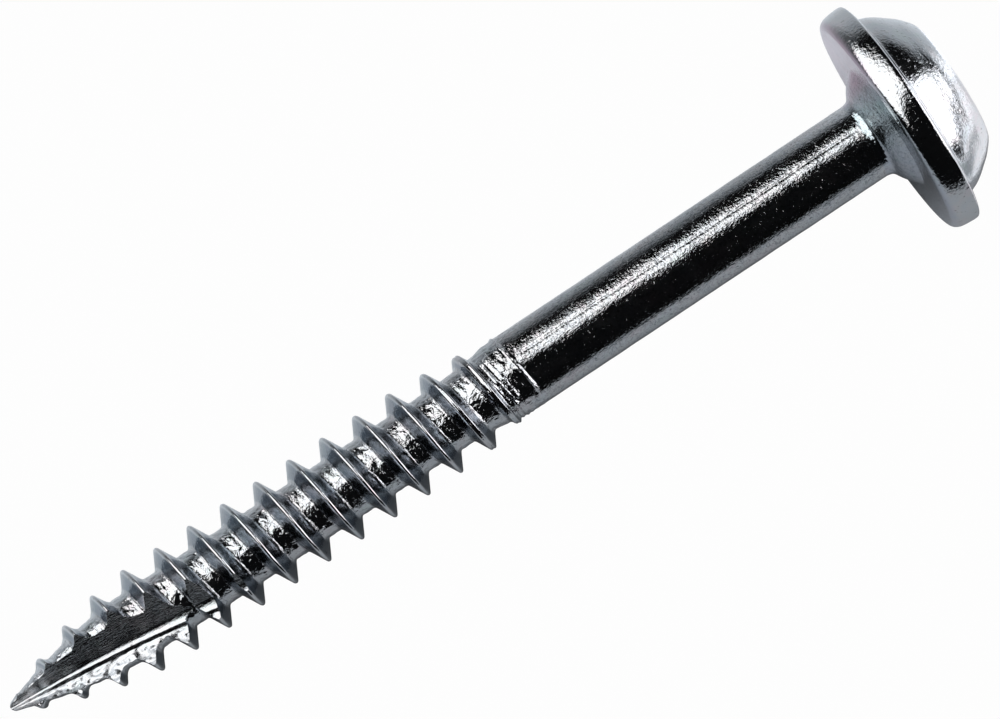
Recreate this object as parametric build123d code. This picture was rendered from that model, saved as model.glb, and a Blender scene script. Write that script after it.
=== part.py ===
from build123d import *
import math
import os

# A washer-head pocket-hole wood screw, in millimetres.
# It lies along X, with its tip towards -X and its drive recess opening towards +X. The origin is the
# centre of the washer's bearing face. The cutting flute at the tip opens upwards, towards +Z.
# The real screw is one cold-headed and thread-rolled piece of wire. Each node is one functional
# section of it, and neighbouring sections meet face to face.

# ---- Length and diameters ----
SCREW_LENGTH = 38.1  # from the bearing face to the tip: the nominal 1-1/2 in
SHANK_D = 3.0
THREAD_D = 3.92  # over the crests
ROOT_D = 2.46  # of the core between the crests
PITCH = 1.44  # one start, right-hand

# ---- Head ----
FLANGE_D = 9.17
FLANGE_T = 1.18
RIM_BEARING_R = 0.25  # rounding of the rim beside the bearing face
RIM_TOP_R = 0.42  # rounding of the rim on the dome's side
DOME_BASE_D = 7.52
DOME_TOP_D = 4.60
DOME_H = 1.79
DOME_BULGE = 0.22  # how far the dome's side stands out from a straight cone
DOME_CORNER_R = 0.2
NECK_TOP_D = 4.96  # where the conical neck meets the bearing face
NECK_L = 0.66
NECK_FILLET_R = 0.3

# ---- Drive recess: a No. 2 square ----
RECESS_AF = 2.85  # across its flats
RECESS_DEPTH = 2.1
RECESS_CORNER_R = 0.15
RECESS_CONE_H = 0.35  # of the drill-shaped bottom below the square

# ---- Thread ----
RUNOUT_START_X = -16.3  # where the thread has died away into the shank
RUNOUT_L = 3.7  # the length over which it dies away
RIDGE_FOOT_W = 0.85  # width of a full ridge where it meets the core
RIDGE_CREST_W = 0.06
MIN_FLANK_W = 0.02  # of a flank with no height left, so that its strip never closes up
CREST_PHASE_X = -23.38  # a crest stands here on the +Y side
FACES_PER_TURN = 4
STEPS_PER_FACE = 6

# ---- Point ----
POINT_L = 10.0  # the section that holds the taper and the flute
TIP_D = 0.3
TIP_RIDGE_H = 0.06  # how high the thread already stands at the very tip
TAPER_CORE_L = 5.3  # the core narrows over this length
TAPER_CREST_L = 6.0  # and the thread's crests over this one
TAPER_POWER = 1.6  # above 1, so that the taper is rounded like an ogive

# ---- Flute: cut by the corner of a wheel. Its flat side leaves a radial wall, and its rim the other ----
WHEEL_R = 50.0
WHEEL_T = 6.0
WHEEL_TIP_SLOPE = 0.066  # of the flute's bottom away from the axis, at the tip
WHEEL_LEAN = 45.0  # the radial wall leans this far from +Z towards -Y
FLUTE_ANGLE = 94.0  # between the two walls

# ---- Derived ----
TIP_X = -SCREW_LENGTH
POINT_END_X = TIP_X + POINT_L
RUNOUT_END_X = RUNOUT_START_X - RUNOUT_L
NECK_END_X = -NECK_L - NECK_FILLET_R
HEAD_TOP_X = FLANGE_T + DOME_H
FULL_RIDGE_H = (THREAD_D - ROOT_D) / 2
RIDGE_LINES = ["left_foot", "left_crest", "right_crest", "right_foot"]
FLANK_SLOPE = ((RIDGE_FOOT_W - RIDGE_CREST_W) / 2 - MIN_FLANK_W) / FULL_RIDGE_H


def ogive(distance, length, tip_radius, full_radius):
    """The radius at a distance from the tip, of an ogive that is full after the given length."""
    left = 1 - min(max(distance / length, 0), 1)
    return full_radius - (full_radius - tip_radius) * left**TAPER_POWER


def faded(x):
    """How far the thread has died away at x: 0 where it is full, 1 at the shank."""
    return min(max((x - RUNOUT_END_X) / RUNOUT_L, 0), 1)


def core_radius(x):
    at_point = ogive(x - TIP_X, TAPER_CORE_L, TIP_D / 2, ROOT_D / 2)
    return at_point + (SHANK_D - ROOT_D) / 2 * faded(x)


def crest_radius(x):
    at_point = ogive(x - TIP_X, TAPER_CREST_L, TIP_D / 2 + TIP_RIDGE_H, THREAD_D / 2)
    return at_point - (THREAD_D - SHANK_D) / 2 * faded(x)


def ridge_lines(turn):
    """The x and radius of the ridge's two feet and two crest edges, at this many turns."""
    x = CREST_PHASE_X + PITCH * turn
    flank = MIN_FLANK_W + FLANK_SLOPE * (crest_radius(x) - core_radius(x))
    crest = RIDGE_CREST_W / 2
    if x > RUNOUT_END_X:
        # While it dies away, the ridge keeps its foot and gets a blunt crest.
        crest = RIDGE_FOOT_W / 2 - flank
    foot = crest + flank
    return {
        "left_foot": (x - foot, core_radius(x - foot)),
        "left_crest": (x - crest, crest_radius(x)),
        "right_crest": (x + crest, crest_radius(x)),
        "right_foot": (x + foot, core_radius(x + foot)),
    }


def on_helix(line, turn):
    """The point of a helical line at this many turns, counted from +Y towards +Z: a right-hand thread."""
    x, radius = ridge_lines(turn)[line]
    angle = 2 * math.pi * turn
    return Vector(x, radius * math.cos(angle), radius * math.sin(angle))


def on_axis(line, turn):
    return Vector(ridge_lines(turn)[line][0], 0, 0)


def helix_edge(line, start):
    """One stretch of a helical line, as long as one face, from this many turns."""
    step = 1 / FACES_PER_TURN / STEPS_PER_FACE
    places = [start + i * step for i in range(STEPS_PER_FACE + 1)]
    points = [on_helix(line, place) for place in places]
    near = step / 50
    tangents = [
        on_helix(line, end + near) - on_helix(line, end - near) for end in (places[0], places[-1])
    ]
    return Edge.make_spline(points, tangents=tangents, parameters=places)


def helical_strip(low, high, first, last, high_ahead=0):
    """Faces between two helical lines. The higher one may be read some turns ahead."""
    starts = [first + i / FACES_PER_TURN for i in range(round((last - first) * FACES_PER_TURN))]
    return [
        Face.make_surface_from_curves(helix_edge(low, at), helix_edge(high, at + high_ahead))
        for at in starts
    ]


def end_cap(line, turn, ridge_turn):
    """Closes one end of the thread: a helicoid from the axis out to one turn of a foot line, and the
    flat face that the ridge and the core show on the half-plane where that turn ends."""
    starts = [turn + i / FACES_PER_TURN for i in range(FACES_PER_TURN)]
    axis = [on_axis(line, at) for at in [*starts, turn + 1]]
    helicoid = [
        Face.make_surface_from_curves(Edge.make_line(low, high), helix_edge(line, at))
        for low, high, at in zip(axis, axis[1:], starts)
    ]
    ridge = [on_helix(name, ridge_turn) for name in RIDGE_LINES]
    foot = on_helix(line, turn if ridge_turn > turn else turn + 1)
    outline = [foot, *ridge, *reversed(axis)] if ridge_turn > turn else [*ridge, foot, *reversed(axis)]
    return [*helicoid, Face(Wire.make_polygon(outline, close=True))]


def threaded_body(first, last):
    """Core and ridge together, as one closed shell of helical strips from the first turn to the last."""
    faces = []
    for low, high in zip(RIDGE_LINES, RIDGE_LINES[1:]):
        faces += helical_strip(low, high, first, last)
    faces += helical_strip("right_foot", "left_foot", first, last - 1, high_ahead=1)
    faces += end_cap("left_foot", first, first)
    faces += end_cap("right_foot", last - 1, last)
    return Solid(Shell(faces))


def cutting_wheel():
    """The wheel that cuts the flute, standing with its flat side on the radial wall."""
    lean = math.radians(WHEEL_LEAN)
    outwards = Vector(0, -math.sin(lean), math.cos(lean))
    into_flute = Vector(0, math.cos(lean), math.sin(lean))
    slope = math.atan(WHEEL_TIP_SLOPE)
    to_centre = outwards * math.cos(slope) - Vector(1, 0, 0) * math.sin(slope)
    flare = WHEEL_T * math.tan(math.radians(FLUTE_ANGLE - 90))
    wheel = Cone(WHEEL_R, WHEEL_R + flare, WHEEL_T, align=(Align.CENTER, Align.CENTER, Align.MIN))
    centre = Vector(TIP_X, 0, 0) + to_centre * WHEEL_R
    return Plane(origin=centre, x_dir=(1, 0, 0), z_dir=into_flute) * wheel


def between(body, low_x, high_x):
    """The part of a body between two planes across the screw."""
    width = 2 * FLANGE_D
    slab = Box(high_x - low_x, width, width, align=(Align.MIN, Align.CENTER, Align.CENTER))
    return body & Pos(low_x, 0, 0) * slab


def lathe(outline, roundings=()):
    """The solid turned from an outline in x and radius, with (corner, radius) roundings of the outline."""
    section = make_face(outline)
    for corner, radius in roundings:
        section = fillet(section.vertices().sort_by_distance(corner)[0], radius)
    return revolve(section, axis=Axis.X)


def recess_cutter():
    """The square socket with its conical bottom, down from the top of the dome."""
    mouth = Plane(origin=(HEAD_TOP_X, 0, 0), x_dir=(0, 1, 0), z_dir=(-1, 0, 0))
    square = RectangleRounded(RECESS_AF, RECESS_AF, RECESS_CORNER_R)
    socket = extrude(mouth * square, RECESS_DEPTH)
    cone = Cone(RECESS_AF / 2, 0, RECESS_CONE_H, align=(Align.CENTER, Align.CENTER, Align.MIN))
    return socket + mouth.offset(RECESS_DEPTH) * cone


# ---- Head end ----
recess = recess_cutter()

dome_base = (FLANGE_T, DOME_BASE_D / 2)
dome_top = (HEAD_TOP_X, DOME_TOP_D / 2)
dome_side = SagittaArc(dome_base, dome_top, DOME_BULGE)
dome_rest = Polyline(dome_top, (HEAD_TOP_X, 0), (FLANGE_T, 0), dome_base)
drive_head = lathe([dome_side, dome_rest], [(dome_top, DOME_CORNER_R)]) - recess

rim_bearing = (0, FLANGE_D / 2)
rim_top = (FLANGE_T, FLANGE_D / 2)
washer_flange = lathe(
    Polyline((0, NECK_TOP_D / 2), rim_bearing, rim_top, (FLANGE_T, NECK_TOP_D / 2), close=True),
    [(rim_bearing, RIM_BEARING_R), (rim_top, RIM_TOP_R)],
)

neck_foot = (-NECK_L, SHANK_D / 2)
underhead_neck = lathe(
    Polyline(
        (NECK_END_X, 0),
        (NECK_END_X, SHANK_D / 2),
        neck_foot,
        (0, NECK_TOP_D / 2),
        (FLANGE_T, NECK_TOP_D / 2),
        (FLANGE_T, 0),
        close=True,
    ),
    [(neck_foot, NECK_FILLET_R)],
) - recess

shank_l = NECK_END_X - RUNOUT_START_X
along_x = Plane(origin=(RUNOUT_START_X, 0, 0), z_dir=(1, 0, 0))
shank = along_x * Cylinder(SHANK_D / 2, shank_l, align=(Align.CENTER, Align.CENTER, Align.MIN))

# ---- Threaded end: two turns more at both ends, which are cut off again before the flute is cut ----
first_turn = math.floor((TIP_X - CREST_PHASE_X) / PITCH) - 2
last_turn = math.ceil((RUNOUT_START_X - CREST_PHASE_X) / PITCH) + 2
threaded = between(threaded_body(first_turn, last_turn), TIP_X, RUNOUT_START_X) - cutting_wheel()

nodes = {
    "drive_head": drive_head,
    "washer_flange": washer_flange,
    "underhead_neck": underhead_neck,
    "shank": shank,
    "thread_runout": between(threaded, RUNOUT_END_X, RUNOUT_START_X),
    "threaded_shank": between(threaded, POINT_END_X, RUNOUT_END_X),
    "auger_point": between(threaded, TIP_X, POINT_END_X),
}

os.makedirs("parts", exist_ok=True)
for name, solid in nodes.items():
    export_step(solid, f"parts/{name}.step")
    print(name, "volume", round(solid.volume, 3), "valid", solid.is_valid, "solids", len(solid.solids()))
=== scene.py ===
import math

import bmesh
import bpy
from mathutils import Matrix, Vector, noise


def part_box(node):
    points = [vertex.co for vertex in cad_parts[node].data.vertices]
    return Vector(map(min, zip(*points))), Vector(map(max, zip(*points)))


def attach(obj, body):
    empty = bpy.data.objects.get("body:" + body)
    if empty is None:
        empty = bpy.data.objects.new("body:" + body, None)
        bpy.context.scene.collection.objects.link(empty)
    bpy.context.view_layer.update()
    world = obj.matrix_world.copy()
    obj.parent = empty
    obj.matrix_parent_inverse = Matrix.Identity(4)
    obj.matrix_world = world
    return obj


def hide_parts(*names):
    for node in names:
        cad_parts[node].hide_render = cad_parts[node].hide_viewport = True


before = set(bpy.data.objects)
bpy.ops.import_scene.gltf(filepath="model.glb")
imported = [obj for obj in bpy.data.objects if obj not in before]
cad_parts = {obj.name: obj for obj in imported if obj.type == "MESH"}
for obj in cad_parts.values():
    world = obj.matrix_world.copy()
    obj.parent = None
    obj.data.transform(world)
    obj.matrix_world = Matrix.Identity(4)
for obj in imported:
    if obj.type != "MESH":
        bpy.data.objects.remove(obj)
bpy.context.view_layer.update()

# A zinc-plated washer-head wood screw. Everything here is worked out in millimetres, in the CAD's frame:
# along X with the tip towards -X, and the origin at the centre of the washer's bearing face.
MM = 0.001
BODY = "root"

# ---- Section planes and radii, from the CAD nodes ----
TIP_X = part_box("auger_point")[0].x / MM
POINT_END_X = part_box("threaded_shank")[0].x / MM
RUNOUT_START_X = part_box("thread_runout")[0].x / MM
SHANK_START_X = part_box("shank")[0].x / MM
NECK_END_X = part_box("shank")[1].x / MM
FLANGE_TOP_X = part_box("washer_flange")[1].x / MM
HEAD_TOP_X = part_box("drive_head")[1].x / MM
SHANK_R = 1.5
FLANGE_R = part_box("washer_flange")[1].z / MM - 0.003  # a little inside the CAD's
PLUG_R = 2.48  # of the core that runs up through the washer

# ---- Head ----
RIM_PROFILE = [(0.0, 4.22), (0.05, 4.355), (0.14, 4.45), (0.28, 4.517), (0.45, 4.551), (0.65, 4.571)]
RIM_PROFILE += [(0.88, FLANGE_R), (0.99, 4.57), (1.04, 4.54), (1.08, 4.46), (1.12, 4.32), (1.16, 4.12)]
DOME_PROFILE = [(FLANGE_TOP_X, 3.87), (1.22, 3.80), (1.32, 3.75), (1.61, 3.63), (1.9, 3.45), (2.19, 3.22)]
DOME_PROFILE += [(2.48, 2.98), (2.77, 2.66), (2.90, 2.46), (2.96, 2.26)]
DOME_OFFSET_Y = 0.085  # the dome is struck a little off the washer's centre
NECK_PROFILE = [(-0.86, 1.51), (-0.72, 1.55), (-0.62, 1.64), (-0.53, 1.79), (-0.42, 1.96), (-0.22, 2.22)]
RECESS_HALF = 1.425  # half the width of the square drive recess
RECESS_MOUTH_HALF = 1.60
RECESS_MOUTH_DEPTH = 0.16
RECESS_MOUTH_ROUNDNESS = 0.35
RECESS_BOTTOM_X = 0.87
RECESS_APEX_X = 0.52
RECESS_CORNER_POWER = 20  # how sharp the square's corners are
FORGED_WAVE = 0.006  # how uneven the dome and the washer's rim are
NECK_WAVE = 0.012
DENTS = [  # x, angle from +Y towards +Z in degrees, width and depth
    (0.62, 146, 0.07, 0.030),
    (0.50, 143, 0.05, 0.020),
    (0.95, 138, 0.05, 0.018),
    (2.62, 20, 0.09, 0.030),
    (2.50, 26, 0.06, 0.020),
]

# ---- Thread ----
PITCH = 1.44
CREST_PHASE_X = -23.38  # a crest stands here on the +Y side, and turns are counted from it
LAST_CREST_TURN = 4  # of the last crest on that side, which is already low
LAST_CREST_SHIFT = -0.17  # of the crest from about there on, along X
CORE_R = 1.23
CREST_R = 1.955
CREST_ROUNDING = 0.075
FLANK_ANGLE = math.radians(27)  # between a flank and the radius
ROOT_FILLET = 0.14
TIP_FILLET = 0.34
TURN_STEPS = 168
SHANK_STEPS = 2 * TURN_STEPS
DRAW_LINE_ANGLE = math.radians(70)  # of the deepest draw line, from +Y towards +Z
# The runout's crests and core, as (x from where the shank starts, radius)
RUNOUT_CRESTS = [(-3.7, 1.955), (-2.75, 1.85), (-2.06, 1.86), (-1.41, 1.72), (-0.77, 1.58), (0.0, 1.545)]
RUNOUT_CRESTS += [(0.6, 1.5)]
RUNOUT_CORE = [(-2.9, 1.235), (-2.3, 1.25), (-1.55, 1.31), (-0.83, 1.38), (-0.43, 1.48), (0.0, 1.5)]
FINE_RIDGES = ((0.27, 0.050), (0.47, 0.055), (0.66, 0.030))  # offset from the dying crest, and height
FINE_RIDGE_W = 0.05
FINE_RIDGE_TURNS = ((0.04, 0.2), (0.42, 0.62))  # where they rise and fall, counted from the last crest
LIP_RISE = 1.17  # of the lip that ends the rolled zone, per turn
LIP_H = 0.05
LIP_W = 0.05
LIP_TURNS = ((-0.14, -0.02), (0.3, 0.46))  # where it rises and falls, counted from a turn after that
ZONES = ("root", "flank")  # how much a vertex lies in each, as attributes of the mesh

# ---- Point ----
TIP_R = 0.15
TAPER_CORE_L = 5.3
TAPER_CREST_L = 6.0
TAPER_POWER = 1.6
TIP_ROUNDING = 0.15  # the length over which the tip is rounded off
TIP_LEAST = 0.004  # its radius never gets smaller, so it never closes to a point
WHEEL_R = 41.0  # of the wheel that grinds the flute
WHEEL_TIP_SLOPE = 0.080  # of the flute's bottom at the tip
WHEEL_LEAN = math.radians(35)  # of the wheel's plane, from upright towards -Y
FLUTE_WALL = math.radians(35.5)  # how steeply the wall on the +Y side rises
FLUTE_BREAK = math.radians(24)  # the slope where the rounded bottom ends on the other side
BURR_BACK = math.radians(-28)  # and of the back of the burr that stands there
BURR_BACK_L = 0.15
FLUTE_ROUNDING = (0.06, 0.010, 0.004)  # the bottom's radius, a polynomial of the distance from the tip
FLUTE_SHELF = (math.radians(15), math.radians(40))  # of the torn shelf beyond it, near and far
FLUTE_NARROWS = (math.radians(16), math.radians(38))  # how much steeper wall and shelf are at the tip
FLUTE_TIP_SPREAD = 0.3  # of the burr and shelf at the tip, as a part of their full width
FLUTE_SPREADS = 0.25  # per millimetre from the tip
SHELF_STEP = 0.045
CUTTER_HALF, CUTTER_TOP = 3.5, 4.0  # half its width at the top, and the top's height over the flute
CUTTER_START_X, CUTTER_L = TIP_X - 0.7, 12.6

# ---- Floor ----
FIRST_FULL_CREST_X = TIP_X + TAPER_CREST_L
RIM_TOUCHES_X = 0.66  # where the washer's rim lies on the floor
FLOOR_SLOPE = (FLANGE_R - CREST_R) / (RIM_TOUCHES_X - FIRST_FULL_CREST_X)
FLOOR_HALF = 400.0
FLOOR_CENTRE_X = -18.0
FLOOR_FROM_Y, FLOOR_TO_Y = -12.0, 26.0
# How pale it is in the metal's reflections, as (Y, grey): painted light and shadow, a pale stripe beside
# the screw on +Y and a darker painted shadow just under it
FLOOR_PAINTED_SHADES = [(-12, 0.40), (-5, 0.34), (-3, 0.17), (-1, 0.11), (0, 0.16), (1.2, 0.85), (2.4, 0.78)]
FLOOR_PAINTED_SHADES += [(3.6, 0.53), (5, 0.52), (7.8, 0.36), (15.4, 0.24), (26, 0.10)]
FLOOR_HUE = (0.94, 1, 1.05)  # of those greys
FLOOR_WIDENS_X = (-4.5, 0.0)  # towards the head the painted light beside the screw is wider
FLOOR_WIDENS_TO = (0.28, 1.3)  # Y's factor and offset in the table at the head

# ---- Lights and surroundings ----
PALE = (0.985, 0.985, 0.985, 1)  # what the camera sees round the screw
DARK = (0.004, 0.0042, 0.0045, 1)  # what the metal reflects beside the lights
LIGHTS_AIM = Vector((-14, 0, 0))
CARD_CLEARANCE = 0.4  # above the floor

# ---- Camera ----
LENS = 290.6
CAMERA_PLACE = Vector((-31.024, 0.726, 292.4))
TARGET = Vector((-16.374, 0.726, 0.0))
PICTURE_ROLL = math.radians(33.63)  # of the screw's axis above the picture's horizontal


def blend_table(table, x):
    """A value read from a short table of (x, value), with straight lines between its rows."""
    if x <= table[0][0]:
        return table[0][1]
    for (x0, v0), (x1, v1) in zip(table, table[1:]):
        if x <= x1:
            return v0 + (v1 - v0) * (x - x0) / (x1 - x0)
    return table[-1][1]


def smooth_max(a, b, width):
    overlap = max(width - abs(a - b), 0)
    return max(a, b) + overlap * overlap / (4 * width)


def bell(distance, width):
    return math.exp(-((distance / width) ** 2))


def ramp(x, start, end):
    t = min(max((x - start) / (end - start), 0), 1)
    return t * t * (3 - 2 * t)


def plateau(x, rise, fall):
    """1 between the rise and the fall, each a start and an end, and 0 before and after them."""
    return ramp(x, *rise) * ramp(-x, -fall[1], -fall[0])


def through(points, steps):
    """A smooth line through (x, radius) points, with this many steps between neighbours."""
    line = []
    padded = [points[0], *points, points[-1]]
    for p0, p1, p2, p3 in zip(padded, padded[1:], padded[2:], padded[3:]):
        for i in range(steps):
            t = i / steps
            line.append(
                tuple(
                    0.5
                    * (
                        2 * b
                        + (c - a) * t
                        + (2 * a - 5 * b + 4 * c - d) * t * t
                        + (3 * b - a - 3 * c + d) * t * t * t
                    )
                    for a, b, c, d in zip(p0, p1, p2, p3)
                )
            )
    return line + [points[-1]]


# ---- Camera, floor, world and lights ----
def standing(place, right, up, back):
    """The matrix of a camera or light at a place, with its own axes along these directions."""
    return Matrix.Translation(place) @ Matrix((right, up, back)).transposed().to_4x4()


def make_camera():
    camera = bpy.data.objects.new("camera", bpy.data.cameras.new("camera"))
    bpy.context.scene.collection.objects.link(camera)
    place = CAMERA_PLACE * MM
    back = (place - TARGET * MM).normalized()
    up = Vector((math.sin(PICTURE_ROLL), math.cos(PICTURE_ROLL), 0))
    up = (up - back * up.dot(back)).normalized()
    right = up.cross(back)
    camera.matrix_world = standing(place, right, up, back)
    camera.data.lens = LENS
    camera.data.sensor_width = 36
    camera.data.clip_start = 0.01
    camera.data.clip_end = 10
    bpy.context.scene.camera = camera


def floor_height(x):
    return -CREST_R - FLOOR_SLOPE * (x - FIRST_FULL_CREST_X)


def floor_with_painted_light():
    """White to the camera. In the metal's reflections it carries painted light and shadow that change
    across the screw: a pale stripe beside it on +Y and a darker band under it.
    """
    n = Nodes("floor_with_painted_light")
    x, y, _ = n.xyz()
    x_from, x_to = (edge * MM for edge in FLOOR_WIDENS_X)
    factor, offset = FLOOR_WIDENS_TO
    wider = n.math("MULTIPLY", y, n.spread(x, x_from, x_to, 1.0, factor))
    wider = n.math("ADD", wider, n.spread(x, x_from, x_to, 0.0, offset * MM))
    place = n.spread(n.math("MINIMUM", wider, y), FLOOR_FROM_Y * MM, FLOOR_TO_Y * MM, 0.0, 1.0)
    stops = []
    for shade_y, grey in FLOOR_PAINTED_SHADES:
        colour = tuple(grey * part for part in FLOOR_HUE)
        stops.append(((shade_y - FLOOR_FROM_Y) / (FLOOR_TO_Y - FLOOR_FROM_Y), colour))
    # painted light and shadow on the floor, which only the metal's reflections show
    painted_floor = n.feed(n.add("ShaderNodeBsdfDiffuse"), Color=n.ramp(place, stops))
    seen = n.feed(n.add("ShaderNodeEmission"), Color=PALE)
    return n.finished(by_camera_ray(n.tree, painted_floor, seen))


def make_floor():
    """A pale sheet that touches the washer's rim and the thread's crests."""
    corners = []
    for sx, sy in ((-1, -1), (1, -1), (1, 1), (-1, 1)):
        x = FLOOR_CENTRE_X + sx * FLOOR_HALF
        corners.append((x * MM, sy * FLOOR_HALF * MM, floor_height(x) * MM))
    mesh = bpy.data.meshes.new("floor")
    mesh.from_pydata(corners, [], [(0, 1, 2, 3)])
    mesh.materials.append(floor_with_painted_light())
    floor = bpy.data.objects.new("floor", mesh)
    bpy.context.scene.collection.objects.link(floor)


def by_camera_ray(tree, reflected, seen):
    """A mix of two shaders: one for what the camera sees, the other for everything else."""
    mix = tree.nodes.new("ShaderNodeMixShader")
    path = tree.nodes.new("ShaderNodeLightPath")
    sources = (path.outputs["Is Camera Ray"], reflected.outputs[0], seen.outputs[0])
    for socket, source in zip(mix.inputs, sources):
        tree.links.new(source, socket)
    return mix


def make_world():
    """Pale to the camera; a dark studio to everything that the metal reflects."""
    world = bpy.data.worlds.new("studio")
    bpy.context.scene.world = world
    world.use_nodes = True
    tree = world.node_tree
    tree.nodes.clear()
    dark = tree.nodes.new("ShaderNodeBackground")
    dark.inputs["Color"].default_value = DARK
    pale = tree.nodes.new("ShaderNodeBackground")
    pale.inputs["Color"].default_value = PALE
    out = tree.nodes.new("ShaderNodeOutputWorld")
    tree.links.new(by_camera_ray(tree, dark, pale).outputs[0], out.inputs["Surface"])


def panel(name, width, height, radiance, colour):
    """A rectangular light, in metres, that the camera doesn't see."""
    data = bpy.data.lights.new(name, "AREA")
    data.shape = "RECTANGLE"
    data.size = width
    data.size_y = height
    data.energy = radiance * math.pi * width * height
    data.color = colour
    light = bpy.data.objects.new(name, data)
    bpy.context.scene.collection.objects.link(light)
    light.visible_camera = False
    return light


def make_softbox(name, azimuth, elevation, distance, size, radiance, colour=(1, 1, 1)):
    """A panel that faces the screw, in metres. The azimuth is from +X towards +Y."""
    light = panel(name, *size, radiance, colour)
    a, e = math.radians(azimuth), math.radians(elevation)
    back = Vector((math.cos(a) * math.cos(e), math.sin(a) * math.cos(e), math.sin(e)))
    up = (Vector((0, 0, 1)) - back * back.z).normalized()
    light.matrix_world = standing(LIGHTS_AIM * MM + back * distance, up.cross(back), up, back)
    return light


def make_card(name, along, across, radiance):
    """A pale card lying on the floor beyond the head, which lights the dome from below. Along and across
    are where it starts and ends in X and Y, in millimetres."""
    length, width = along[1] - along[0], across[1] - across[0]
    card = panel(name, length * MM, width * MM, radiance, (0.97, 0.965, 1))
    x, y = sum(along) / 2, sum(across) / 2
    lying = Matrix.Rotation(math.atan(FLOOR_SLOPE), 4, "Y") @ Matrix.Rotation(math.pi, 4, "X")
    card.matrix_world = Matrix.Translation(Vector((x, y, floor_height(x) + CARD_CLEARANCE)) * MM) @ lying


def make_floor_fill():
    """Overhead light for the floor alone. The metal doesn't mirror it."""
    fill = make_softbox("floor_fill", azimuth=0, elevation=89, distance=0.8, size=(0.6, 0.6), radiance=2.0)
    fill.visible_glossy = False


# ---- Materials ----
class Nodes:
    """Short names for the nodes of one material."""

    def __init__(self, name):
        self.material = bpy.data.materials.new(name)
        self.material.use_nodes = True
        self.tree = self.material.node_tree
        self.tree.nodes.clear()
        self.coords = self.add("ShaderNodeTexCoord").outputs["Object"]

    def finished(self, shader):
        """The material, once this shader is its surface."""
        self.join([self.add("ShaderNodeOutputMaterial").inputs["Surface"]], [shader.outputs[0]])
        return self.material

    def add(self, kind, **settings):
        node = self.tree.nodes.new(kind)
        for key, value in settings.items():
            setattr(node, key, value)
        return node

    def join(self, sockets, values):
        """Gives each socket its value: a link where that is another node's output, or else a constant."""
        for socket, value in zip(sockets, values):
            if isinstance(value, bpy.types.NodeSocket):
                self.tree.links.new(value, socket)
            else:
                socket.default_value = value

    def feed(self, node, **inputs):
        self.join([node.inputs[key.replace("_", " ")] for key in inputs], inputs.values())
        return node

    def math(self, operation, a, b=0.0):
        node = self.add("ShaderNodeMath", operation=operation)
        self.join(node.inputs[:2], (a, b))
        return node.outputs[0]

    def xyz(self):
        """The point's X, Y and Z, in metres."""
        return self.feed(self.add("ShaderNodeSeparateXYZ"), Vector=self.coords).outputs

    def stretched(self, scale):
        """Coordinates in millimetres times the scale along each axis."""
        mapping = self.add("ShaderNodeMapping")
        self.feed(mapping, Vector=self.coords, Scale=tuple(s / MM for s in scale))
        return mapping.outputs[0]

    def noise(self, vector, detail=2.0, roughness=0.5, distortion=0.0):
        node = self.add("ShaderNodeTexNoise")
        self.feed(node, Vector=vector, Scale=1.0, Detail=detail, Roughness=roughness, Distortion=distortion)
        return node.outputs["Fac"]

    def spread(self, value, low, high, to_low, to_high):
        """The value, moved from the range low to high to the range to_low to to_high, and held in it."""
        node = self.add("ShaderNodeMapRange")
        self.join(node.inputs[:5], (value, low, high, to_low, to_high))
        return node.outputs[0]

    def ramp(self, value, stops):
        node = self.add("ShaderNodeValToRGB")
        elements = node.color_ramp.elements
        while len(elements) < len(stops):
            elements.new(0.5)
        for element, (place, colour) in zip(elements, stops):
            element.position = place
            element.color = (*colour, 1)
        self.tree.links.new(value, node.inputs[0])
        return node.outputs["Color"]

    def mixed(self, factor, a, b, mode="MIX"):
        node = self.add("ShaderNodeMix", data_type="RGBA", blend_type=mode)
        self.join((node.inputs[0], node.inputs[6], node.inputs[7]), (factor, a, b))
        return node.outputs[2]

    def bump(self, height, depth, normal=None):
        """Bumps whose full height is the depth in millimetres."""
        node = self.add("ShaderNodeBump")
        self.feed(node, Height=height, Distance=depth * MM, Strength=1.0)
        if normal is not None:
            self.feed(node, Normal=normal)
        return node.outputs[0]

    def across_underside(self):
        """0 to 1 from -Y to +Y across the washer's underside, with a wavering front."""
        waver = self.math("MULTIPLY", self.noise(self.stretched((0.8, 0.8, 0.8))), 0.3)
        across = self.spread(self.xyz()["Y"], -4.5 * MM, 4.5 * MM, -0.15, 0.85)
        return self.math("ADD", across, waver)

    def on_underside(self):
        """How strong the underside's tints are: they fade out on the washer's rim."""
        return self.spread(self.xyz()["X"], 0.04 * MM, 0.25 * MM, 0.8, 0.0)

    def round_the_axis(self, across, along):
        """Coordinates that change fast across the turning direction and slowly round the axis."""
        x, y, z = self.xyz()
        squares = self.math("ADD", self.math("MULTIPLY", y, y), self.math("MULTIPLY", z, z))
        radius = self.math("SQRT", squares)
        slow = along / MM
        fast = across / MM
        first = self.math("ADD", self.math("MULTIPLY", x, fast), self.math("MULTIPLY", y, slow))
        second = self.math("ADD", self.math("MULTIPLY", radius, fast), self.math("MULTIPLY", z, slow))
        combined = self.add("ShaderNodeCombineXYZ")
        self.join(combined.inputs, (first, second, self.math("MULTIPLY", y, -slow)))
        return combined.outputs[0]


BLUE_GREY = (0.59, 0.61, 0.64)
NEUTRAL = (0.61, 0.62, 0.63)
PINKISH = (0.635, 0.61, 0.63)
TEAL = (0.575, 0.615, 0.62)
STAIN = (0.25, 0.26, 0.26)
SCUFF = (0.30, 0.31, 0.32)
PAINTED_FLANK_SHADE = (0.445, 0.485, 0.53)  # painted shade: multiplies the plate's own colour on the thread's flanks, darker where they lie in shade between the crests
UNDERSIDE_TINTS = [(0.0, (0.86, 0.88, 1.0)), (0.36, (0.84, 0.88, 0.95))]  # from -Y to +Y
UNDERSIDE_TINTS += [(0.56, (0.86, 1.0, 1.0)), (0.78, (1.0, 0.73, 0.86))]


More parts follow.
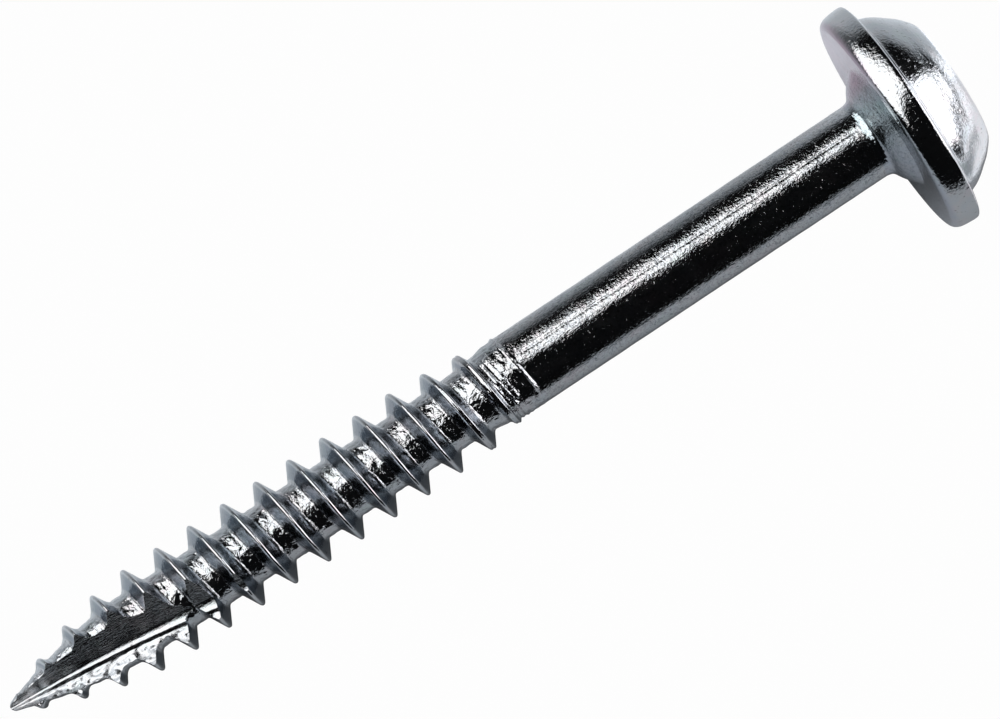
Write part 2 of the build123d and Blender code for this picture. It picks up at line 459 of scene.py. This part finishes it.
def zinc(
    name,
    grain,
    grain_depth,
    rough=(0.08, 0.16),
    streaks=None,
    streak_depth=0.0,
    speckled=0.0015,
    worn=0.0,
    rooted=False,
    tinted=False,
):
    """Bright zinc plate on steel: a mottled blue, grey and pink film over a fine orange peel.

    The grain is the peel's scale along X, Y and Z, per millimetre, and rough the range of the roughness.
    Streaks makes the coordinates of fine lines. Speckled is the height of raised specks and worn the
    strength of dark scuffs. Depths and heights are in millimetres. Rooted tears the surface where the
    mesh's root attribute is high and darkens its flanks with painted shade, and tinted colours the washer's
    underside."""
    n = Nodes(name)
    film = n.noise(n.stretched((0.7, 0.7, 0.7)), detail=3, roughness=0.6, distortion=0.4)
    patches = n.noise(n.stretched((2.6, 2.6, 2.6)), detail=3, roughness=0.6)
    mottle = n.math("ADD", n.math("MULTIPLY", film, 0.6), n.math("MULTIPLY", patches, 0.4))
    colour = n.ramp(mottle, [(0.38, TEAL), (0.45, BLUE_GREY), (0.53, NEUTRAL), (0.62, PINKISH)])
    spots = n.noise(n.stretched((7, 7, 7)), detail=1)
    spotted = n.spread(spots, 0.70, 0.76, 0.0, 1.0)
    colour = n.mixed(spotted, colour, (*STAIN, 1))
    if rooted:
        # painted shade: the flanks' plate colour is darkened to stand for the shade between the crests
        flank = n.add("ShaderNodeAttribute", attribute_name="flank").outputs["Fac"]
        colour = n.mixed(flank, colour, (*PAINTED_FLANK_SHADE, 1), mode="MULTIPLY")
    if tinted:
        tint = n.ramp(n.across_underside(), UNDERSIDE_TINTS)
        colour = n.mixed(n.on_underside(), colour, tint, mode="MULTIPLY")
    if worn:
        scuffs = n.noise(n.stretched((9, 7, 7)), detail=3, roughness=0.65, distortion=1.5)
        scuffed = n.spread(scuffs, 0.50, 0.60, 0.0, worn)
        colour = n.mixed(scuffed, colour, (*SCUFF, 1), mode="MULTIPLY")

    dull = n.noise(n.stretched((1.4, 3.0, 3.0)), detail=4, roughness=0.65)
    roughness = n.spread(dull, 0.35, 0.70, *rough)

    normal = n.bump(n.noise(n.stretched((1.3, 2.4, 2.4)), detail=1), 0.006)
    if streaks is not None:
        normal = n.bump(n.noise(streaks(n), detail=3, roughness=0.7), streak_depth, normal)
    if rooted:
        root = n.add("ShaderNodeAttribute", attribute_name="root").outputs["Fac"]
        torn = n.noise(n.stretched((5.5, 5.5, 5.5)), detail=2, roughness=0.6, distortion=0.6)
        normal = n.bump(n.math("MULTIPLY", torn, root), 0.036, normal)
    specks = n.spread(n.noise(n.stretched((9, 9, 9)), detail=2), 0.62, 0.74, 0.0, 1.0)
    normal = n.bump(specks, speckled, normal)
    peel = n.noise(n.stretched(grain), detail=2, roughness=0.6)
    normal = n.bump(peel, grain_depth, normal)

    shader = n.add("ShaderNodeBsdfPrincipled")
    n.feed(shader, Base_Color=colour, Metallic=1.0, Roughness=roughness, Normal=normal)
    return n.finished(shader)


# ---- Meshes ----
def add_piece(name, mesh, node, material=None):
    """One piece of the screw in its CAD node's place, shaded smooth apart from edges over 40 degrees."""
    piece = bpy.data.objects.new(name, mesh)
    bpy.context.scene.collection.objects.link(piece)
    if material is not None:
        mesh.materials.append(material)
    mesh.polygons.foreach_set("use_smooth", [True] * len(mesh.polygons))
    mesh.set_sharp_from_angle(angle=math.radians(40))
    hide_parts(node)
    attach(piece, BODY)


def mesh_of(name, points, faces):
    """A mesh of these points, in millimetres, with its normals outwards."""
    mesh = bpy.data.meshes.new(name)
    mesh.from_pydata([Vector(p) * MM for p in points], [], faces)
    work = bmesh.new()
    work.from_mesh(mesh)
    bmesh.ops.recalc_face_normals(work, faces=work.faces)
    work.to_mesh(mesh)
    work.free()
    return mesh


def strips(count, rings, closed=False):
    """The faces between neighbouring rings of this many points. Closed also joins the last to the first."""
    faces = []
    for k in range(rings if closed else rings - 1):
        low, high = k * count, (k + 1) % rings * count
        for i in range(count):
            j = (i + 1) % count
            faces.append((low + i, low + j, high + j, high + i))
    return faces


def fan(first, count, centre):
    """Triangles that join a ring of points, from the first one on, to its centre."""
    return [(first + i, first + (i + 1) % count, centre) for i in range(count)]


def tube(name, rings, caps=()):
    """A closed mesh through rings of points. Without caps, the last ring joins the first. Two caps are the
    points that the first and the last ring close on."""
    count = len(rings[0])
    points = [point for ring in rings for point in ring]
    faces = strips(count, len(rings), closed=not caps)
    if caps:
        faces += fan(0, count, len(points)) + fan(len(points) - count, count, len(points) + 1)
    return mesh_of(name, points + list(caps), faces)


def circle(x, radius, count, offset_y=0.0):
    ring = []
    for i in range(count):
        angle = 2 * math.pi * i / count
        ring.append((x, radius * math.cos(angle) + offset_y, radius * math.sin(angle)))
    return ring


def square(x, half, count, roundness=0.0):
    """A rounded square ring. Roundness 1 turns it into a circle."""
    ring = []
    power = RECESS_CORNER_POWER
    for i in range(count):
        angle = 2 * math.pi * i / count
        c, s = abs(math.cos(angle)), abs(math.sin(angle))
        radius = half / (c**power + s**power) ** (1 / power)
        radius += (half * 1.12 - radius) * roundness
        ring.append((x, radius * math.cos(angle), radius * math.sin(angle)))
    return ring


def peened(point, wave):
    """A point of the dome, washer or neck, with the shallow unevenness of a forged blank and its dents."""
    x, y, z = point
    radius = math.hypot(y, z)
    if radius < 1e-6:
        return point
    move = wave * noise.noise(Vector(point) * 0.9)
    for dent_x, dent_angle, width, depth in DENTS:
        a = math.radians(dent_angle)
        away = math.hypot(x - dent_x, y - radius * math.cos(a), z - radius * math.sin(a))
        if away < 3 * width:
            move -= depth * bell(away, width)
    scale = 1 + move / radius
    return (x, y * scale, z * scale)


def make_flange(material):
    """The washer, with a hole for the core that runs up through it."""
    count = 420
    face = [(0.0, r) for r in (PLUG_R, 2.7, 3.0, 3.4, 3.8, 4.1)]
    top = [(FLANGE_TOP_X, r) for r in (3.95, 3.4, 2.9, PLUG_R)]
    rings = []
    for x, r in face + through(RIM_PROFILE, 4) + top:
        if 0 < x < FLANGE_TOP_X:
            rings.append([peened(p, FORGED_WAVE) for p in circle(x, r - FORGED_WAVE * 0.5, count)])
        else:
            rings.append(circle(x, r, count))
    add_piece("washer", tube("washer", rings), "washer_flange", material)


def make_dome(material):
    """The dome, with the upper part of the drive recess right through it."""
    count = 288
    rings = []
    for x, r in through(DOME_PROFILE, 5):
        wave = FORGED_WAVE * ramp(x, FLANGE_TOP_X, FLANGE_TOP_X + 0.3)
        rings.append([peened(p, wave) for p in circle(x, r, count, DOME_OFFSET_Y)])
    for r in (2.20, 2.10, 2.00):
        rings.append(circle(HEAD_TOP_X, r, count, DOME_OFFSET_Y * (r - 1.9) / 0.3))
    rings.append(square(HEAD_TOP_X, RECESS_MOUTH_HALF + 0.03, count, RECESS_MOUTH_ROUNDNESS))
    steps = 6
    for i in range(steps + 1):
        t = i / steps
        x = HEAD_TOP_X - RECESS_MOUTH_DEPTH * (1 - math.cos(t * math.pi / 2))
        half = RECESS_MOUTH_HALF + (RECESS_HALF - RECESS_MOUTH_HALF) * math.sin(t * math.pi / 2)
        rings.append(square(x, half, count, RECESS_MOUTH_ROUNDNESS * (1 - t)))
    rings.append(square(2.0, RECESS_HALF, count))
    rings.append(square(FLANGE_TOP_X, RECESS_HALF, count))
    add_piece("dome", tube("dome", rings), "drive_head", material)


def make_neck(material):
    """The conical neck and the core inside the washer, with the bottom of the drive recess."""
    count = 240
    rings = [circle(NECK_END_X, SHANK_R, count)]
    for x, r in [(NECK_END_X + 0.04, 1.502)] + through(NECK_PROFILE + [(0.0, PLUG_R)], 4):
        wave = NECK_WAVE * plateau(x, (NECK_END_X, NECK_END_X + 0.15), (-0.15, 0.0))
        rings.append([peened(p, wave) for p in circle(x, r, count)])
    rings.append(circle(FLANGE_TOP_X, PLUG_R, count))
    rings.append(square(FLANGE_TOP_X, RECESS_HALF, count))
    rings.append(square(RECESS_BOTTOM_X + 0.04, RECESS_HALF, count))
    rings.append(square(RECESS_BOTTOM_X, RECESS_HALF - 0.05, count, 0.1))
    mesh = tube("neck", rings, caps=[(NECK_END_X, 0, 0), (RECESS_APEX_X, 0, 0)])
    add_piece("neck", mesh, "underhead_neck", material)


def ogive(distance, length, tip_radius, full_radius):
    """The radius of the point's taper at a distance from the tip."""
    left = 1 - min(max(distance / length, 0), 1)
    return full_radius - (full_radius - tip_radius) * left**TAPER_POWER


def core_radius(x):
    if x > RUNOUT_START_X + 0.6:
        return blend_table(RUNOUT_CORE, x - SHANK_START_X)
    return ogive(x - TIP_X, TAPER_CORE_L, TIP_R, CORE_R)


def crest_radius(x):
    if x > RUNOUT_START_X:
        return blend_table(RUNOUT_CRESTS, x - SHANK_START_X)
    return ogive(x - TIP_X, TAPER_CREST_L, TIP_R + 0.06, CREST_R)


def ridge_height(offset, height, blunt):
    """The height of one ridge at an offset along the axis from its middle, below zero past its foot."""
    away = max(abs(offset) - blunt, 0)
    rounding = min(CREST_ROUNDING, height * 0.8)
    tangent_at = rounding * math.cos(FLANK_ANGLE)
    if away < tangent_at:
        return height - rounding + math.sqrt(rounding * rounding - away * away)
    tangent_h = height - rounding + rounding * math.sin(FLANK_ANGLE)
    return tangent_h - (away - tangent_at) / math.tan(FLANK_ANGLE)


def thread_surface(x, turn):
    """The radius at x on the ray at this many turns, and how much it is a root and a flank (0 to 1)."""
    after = turn - LAST_CREST_TURN
    centre = CREST_PHASE_X + PITCH * turn + LAST_CREST_SHIFT * ramp(after, -0.6, 0.6)
    offset = x - centre
    to_shank = centre - SHANK_START_X
    height = (crest_radius(centre) - core_radius(centre)) * ramp(centre - TIP_X, 0.2, 0.8)
    dying = ramp(to_shank, -2.9, -2.0)
    lean = 1 + 0.25 * dying * ramp(to_shank, -1.6, 0.0)
    ridge = ridge_height(offset * lean, max(height, 0.01), 0.05 * dying)
    ridge -= 0.3 * ramp(after, 0.56, 0.75)
    ridge -= 0.2 * ramp(-height, -0.055, -0.01)
    fillet = TIP_FILLET + (ROOT_FILLET - TIP_FILLET) * ramp(x, TIP_X + 4, TIP_X + 8)
    groove = 0.02 * dying * bell(offset, 0.04) * ramp(-to_shank, 0.0, 0.9)
    radius = core_radius(x) + smooth_max(ridge, 0.0, fillet) - groove
    for ridge_at, ridge_h in FINE_RIDGES:
        radius += ridge_h * plateau(after, *FINE_RIDGE_TURNS) * bell(offset - ridge_at, FINE_RIDGE_W)
    before_lip = SHANK_START_X + LIP_RISE * (after - 1) - x
    lip = plateau(after - 1, *LIP_TURNS)
    radius += LIP_H * lip * bell(before_lip, LIP_W)
    radius -= 0.02 * lip * plateau(before_lip, (0.0, 0.06), (0.25, 0.55))
    root = 1 - ramp(ridge, 0.0, 0.12)
    flank = ramp(ridge, 0.03, 0.16) * ramp(height - ridge, 0.04, 0.14)
    return radius, root, flank


def rough_point(x, turn):
    """The thread's point there, with rough roots and a rounded tip, and its share of each of the zones."""
    radius, root, flank = thread_surface(x, turn)
    angle = 2 * math.pi * turn
    y, z = radius * math.cos(angle), radius * math.sin(angle)
    place = Vector((x, y, z))
    settled = ramp(x, SHANK_START_X + 1.2, SHANK_START_X)
    rough = 0.010 * noise.noise(place * 1.3)
    rough += (0.004 + 0.018 * root) * noise.noise(place * 4.2) * settled
    rough += 0.007 * root * noise.noise(place * 8.5) * settled
    distance = x - TIP_X
    rounded = 1.0
    if distance < TIP_ROUNDING:
        rounded = math.sqrt(max(1 - (1 - max(distance, TIP_LEAST) / TIP_ROUNDING) ** 2, 0.0))
        rough = 0
    radius = min(max((radius + rough) * rounded, TIP_LEAST), CREST_R)
    return (x, radius * math.cos(angle), radius * math.sin(angle)), (root, flank)


def helical_grid():
    """The whole threaded end as one sheet of faces, a few turns longer than it needs at both ends."""
    across = [0, 0.022, 0.044, 0.064, 0.082, 0.11, 0.15, 0.19, 0.23, 0.27, 0.31, 0.345, 0.38, 0.42]
    across += [0.46, 0.50, 0.54, 0.58, 0.63, 0.675]
    offsets = [-PITCH / 2] + [-a for a in reversed(across)] + across[1:]
    first = math.floor((TIP_X - CREST_PHASE_X) / PITCH) - 2
    last = math.ceil((SHANK_START_X - CREST_PHASE_X) / PITCH) + 2
    rows = (last - first) * TURN_STEPS + 1
    width = len(offsets)
    points, zones = [], []
    for k in range(rows):
        turn = first + k / TURN_STEPS
        for offset in offsets:
            point, parts = rough_point(CREST_PHASE_X + PITCH * turn + offset, turn)
            points.append(point)
            zones.append(parts)
    faces = []
    for k in range(rows - 1):
        for j in range(width - 1):
            a = k * width + j
            faces.append((a, a + 1, a + width + 1, a + width))
        if k + TURN_STEPS + 1 < rows:
            a = k * width + width - 1
            b = (k + TURN_STEPS) * width
            faces.append((a, b, b + width, a + width))
    return points, faces, zones


def cut_to(grid, low_x, high_x):
    """The part of the helical sheet between two planes across the screw, closed by flat ends."""
    points, faces, zones = grid
    work = bmesh.new()
    layers = [work.verts.layers.float.new(zone) for zone in ZONES]
    vertices = {}
    for i, point in enumerate(points):
        if low_x - PITCH < point[0] < high_x + PITCH:
            vertices[i] = work.verts.new(point)
            for layer, value in zip(layers, zones[i]):
                vertices[i][layer] = value
    for face in faces:
        if all(i in vertices for i in face):
            work.faces.new([vertices[i] for i in face])
    for plane_x, outwards in ((low_x, -1), (high_x, 1)):
        everything = work.verts[:] + work.edges[:] + work.faces[:]
        cut = bmesh.ops.bisect_plane(
            work,
            geom=everything,
            dist=1e-5,
            plane_co=(plane_x, 0, 0),
            plane_no=(outwards, 0, 0),
            clear_outer=True,
        )
        rim = [e for e in cut["geom_cut"] if isinstance(e, bmesh.types.BMEdge)]
        bmesh.ops.triangle_fill(work, use_beauty=True, edges=rim)
    bmesh.ops.remove_doubles(work, verts=work.verts, dist=1e-4)
    bmesh.ops.recalc_face_normals(work, faces=work.faces)
    bmesh.ops.scale(work, vec=(MM, MM, MM), verts=work.verts)
    mesh = bpy.data.meshes.new("threaded")
    work.to_mesh(mesh)
    work.free()
    return mesh


def drawn(angle, x):
    """The shallow lengthwise lines left by the wire drawing, as a height at an angle round the shank."""
    lines = 0.0012 * noise.noise(Vector((x * 0.12, 9 * math.cos(angle), 9 * math.sin(angle))) * 1.6)
    away = (angle - DRAW_LINE_ANGLE - 0.02 * noise.noise(Vector((x * 0.5, 0, 4)))) / 0.045
    return lines - 0.020 * math.exp(-away * away)


def make_shank(material):
    """The smooth shank. Its first ring lies on the thread's surface and its last is a plain circle."""
    x, places = SHANK_START_X, [SHANK_START_X]
    while x < NECK_END_X - 0.12:
        x += 0.035 if x < SHANK_START_X + 1.0 else 0.11
        places.append(x)
    places[-1] = NECK_END_X
    rings = []
    for x in places:
        settled = ramp(-x, -NECK_END_X, 0.4 - NECK_END_X)
        ring = []
        for i in range(SHANK_STEPS):
            turn = i / SHANK_STEPS
            whole = round((x - CREST_PHASE_X) / PITCH - turn)
            (px, y, z), _ = rough_point(x, whole + turn)
            radius = math.hypot(y, z)
            plain = drawn(2 * math.pi * turn, x) * ramp(x, SHANK_START_X + 0.3, SHANK_START_X + 0.9)
            scale = 1 + ((SHANK_R - radius) * (1 - settled) + plain * settled) / radius
            ring.append((px, y * scale, z * scale))
        rings.append(ring)
    mesh = tube("shank", rings, caps=[(SHANK_START_X, 0, 0), (NECK_END_X, 0, 0)])
    add_piece("plain_shank", mesh, "shank", material)


def flute_section(distance):
    """The cutter's outline at a distance from the tip, as (towards -Y, up) from the flute's lowest line:
    the wall, the rounded bottom, a burr, and the torn shelf beyond it, which is narrower near the tip."""
    rounding = sum(factor * distance**power for power, factor in enumerate(FLUTE_ROUNDING))
    spread = min(FLUTE_TIP_SPREAD + FLUTE_SPREADS * distance, 1.0)
    narrows = (1 - spread) / (1 - FLUTE_TIP_SPREAD)
    wall = FLUTE_WALL + FLUTE_NARROWS[0] * narrows
    near, far = FLUTE_SHELF[0], FLUTE_SHELF[1] + FLUTE_NARROWS[1] * narrows
    line = []
    foot = (-rounding * math.sin(wall), rounding * (1 - math.cos(wall)))
    for i in range(44, 0, -1):
        reach = 0.08 * i
        line.append((foot[0] - reach * math.cos(wall), foot[1] + reach * math.sin(wall)))
    steps = 24
    for i in range(steps + 1):
        turn = -wall + (wall + FLUTE_BREAK) * i / steps
        line.append((rounding * math.sin(turn), rounding * (1 - math.cos(turn))))
    burr = [(FLUTE_BREAK, 0.02)] * 2 + [(0.0, 0.02)] + [(BURR_BACK, BURR_BACK_L / 5)] * 5 + [(0.0, 0.015)]
    moves = [(turn, reach * spread) for turn, reach in burr]
    for i in range(1, 50):
        turn = near + (far - near) * ramp(SHELF_STEP * i, 0.15 * spread**2, 0.6 * spread**2)
        moves.append((turn, SHELF_STEP))
    h, v = line[-1]
    for turn, reach in moves:
        h += reach * math.cos(turn)
        v += reach * math.sin(turn)
        line.append((h, v))
    return line + [(CUTTER_HALF, CUTTER_TOP), (-CUTTER_HALF, CUTTER_TOP)]


def flute_cutter():
    """What the wheel cuts away, as a closed bar along the path of the flute's bottom."""
    slope = math.atan(WHEEL_TIP_SLOPE)
    points = []
    steps = 190
    for k in range(steps + 1):
        x = CUTTER_START_X + CUTTER_L * k / steps
        along = x - TIP_X + WHEEL_R * math.sin(slope)
        deep = WHEEL_R * math.cos(slope) - math.sqrt(WHEEL_R**2 - along**2)
        bottom_y, bottom_z = -deep * math.sin(WHEEL_LEAN), deep * math.cos(WHEEL_LEAN)
        section = flute_section(max(x - TIP_X, 0))
        for down, up in section:
            y, z = bottom_y - down, bottom_z + up
            if up < CUTTER_TOP:
                place = Vector((x, y, z))
                torn = (0.15 + ramp(down, 0.15, 0.5)) * ramp(down, 0.02, 0.1) * ramp(x, TIP_X, TIP_X + 1)
                z += torn * (0.070 * noise.noise(place * 4.0) + 0.045 * noise.noise(place * 8.0))
                z += 0.003 * noise.noise(Vector((x * 0.6, y * 6, z * 6)))
            points.append(Vector((x, y, z)))
    width = len(section)
    faces = strips(width, steps + 1)
    ends = [list(range(width)), list(range(steps * width, (steps + 1) * width))]
    return mesh_of("flute_cutter", points, faces + ends)


def make_point(grid, thread_material, flute_material):
    """The threaded point with the flute cut out of it, whose faces take the flute's own material."""
    body = bpy.data.objects.new("auger_tip_body", cut_to(grid, TIP_X, POINT_END_X))
    cutter = bpy.data.objects.new("flute_cutter", flute_cutter())
    for shape in (body, cutter):
        bpy.context.scene.collection.objects.link(shape)
        shape.data.materials.append(thread_material)
        shape.data.materials.append(flute_material)
    cutter.data.polygons.foreach_set("material_index", [1] * len(cutter.data.polygons))
    boolean = body.modifiers.new("flute", "BOOLEAN")
    boolean.operation = "DIFFERENCE"
    boolean.solver = "EXACT"
    boolean.object = cutter
    depsgraph = bpy.context.evaluated_depsgraph_get()
    fluted = bpy.data.meshes.new_from_object(body.evaluated_get(depsgraph))
    bpy.data.objects.remove(body)
    bpy.data.objects.remove(cutter)
    work = bmesh.new()
    work.from_mesh(fluted)
    bmesh.ops.dissolve_degenerate(work, dist=1e-7, edges=work.edges)
    work.to_mesh(fluted)
    work.free()
    add_piece("auger_tip", fluted, "auger_point")


make_camera()
make_floor()
make_world()
make_softbox("softbox_left", azimuth=128.6, elevation=40.2, distance=0.5, size=(0.64, 0.775), radiance=1.8)
make_softbox(
    "softbox_right",
    azimuth=-15,
    elevation=27.5,
    distance=0.5,
    size=(0.58, 0.46),
    radiance=2.4,
    colour=(0.98, 0.97, 1),
)
make_card("near_card", along=(4.5, 22), across=(-10, 3), radiance=0.80)
make_card("far_card", along=(22, 120), across=(-45, 9), radiance=1.25)
make_floor_fill()
bpy.context.scene.view_settings.view_transform = "Standard"

head_zinc = zinc(
    "zinc_dome",
    grain=(9, 9, 9),
    grain_depth=0.010,
    rough=(0.10, 0.20),
    streaks=lambda n: n.round_the_axis(14, 0.8),
    streak_depth=0.003,
    speckled=0.0045,
)
rim_zinc = zinc(
    "zinc_washer", grain=(9, 8, 8), grain_depth=0.012, rough=(0.06, 0.14), speckled=0.003, tinted=True
)
neck_zinc = zinc("zinc_neck", grain=(7, 7, 7), grain_depth=0.019, rough=(0.07, 0.13), worn=0.4, tinted=True)
shank_zinc = zinc(
    "zinc_shank",
    grain=(7.5, 9.5, 9.5),
    grain_depth=0.013,
    streaks=lambda n: n.stretched((0.5, 9, 9)),
    streak_depth=0.005,
    speckled=0.0035,
    worn=0.65,
)
thread_zinc = zinc("zinc_thread", grain=(8, 8, 8), grain_depth=0.010, rooted=True)
flute_zinc = zinc(
    "zinc_flute",
    grain=(2, 12, 12),
    grain_depth=0.002,
    rough=(0.10, 0.24),
    streaks=lambda n: n.stretched((0.3, 15, 15)),
    streak_depth=0.017,
    speckled=0.001,
)

make_flange(rim_zinc)
make_dome(head_zinc)
make_neck(neck_zinc)
make_shank(shank_zinc)
helix = helical_grid()
add_piece("thread_end", cut_to(helix, RUNOUT_START_X, SHANK_START_X), "thread_runout", thread_zinc)
add_piece("wood_thread", cut_to(helix, POINT_END_X, RUNOUT_START_X), "threaded_shank", thread_zinc)
make_point(helix, thread_zinc, flute_zinc)
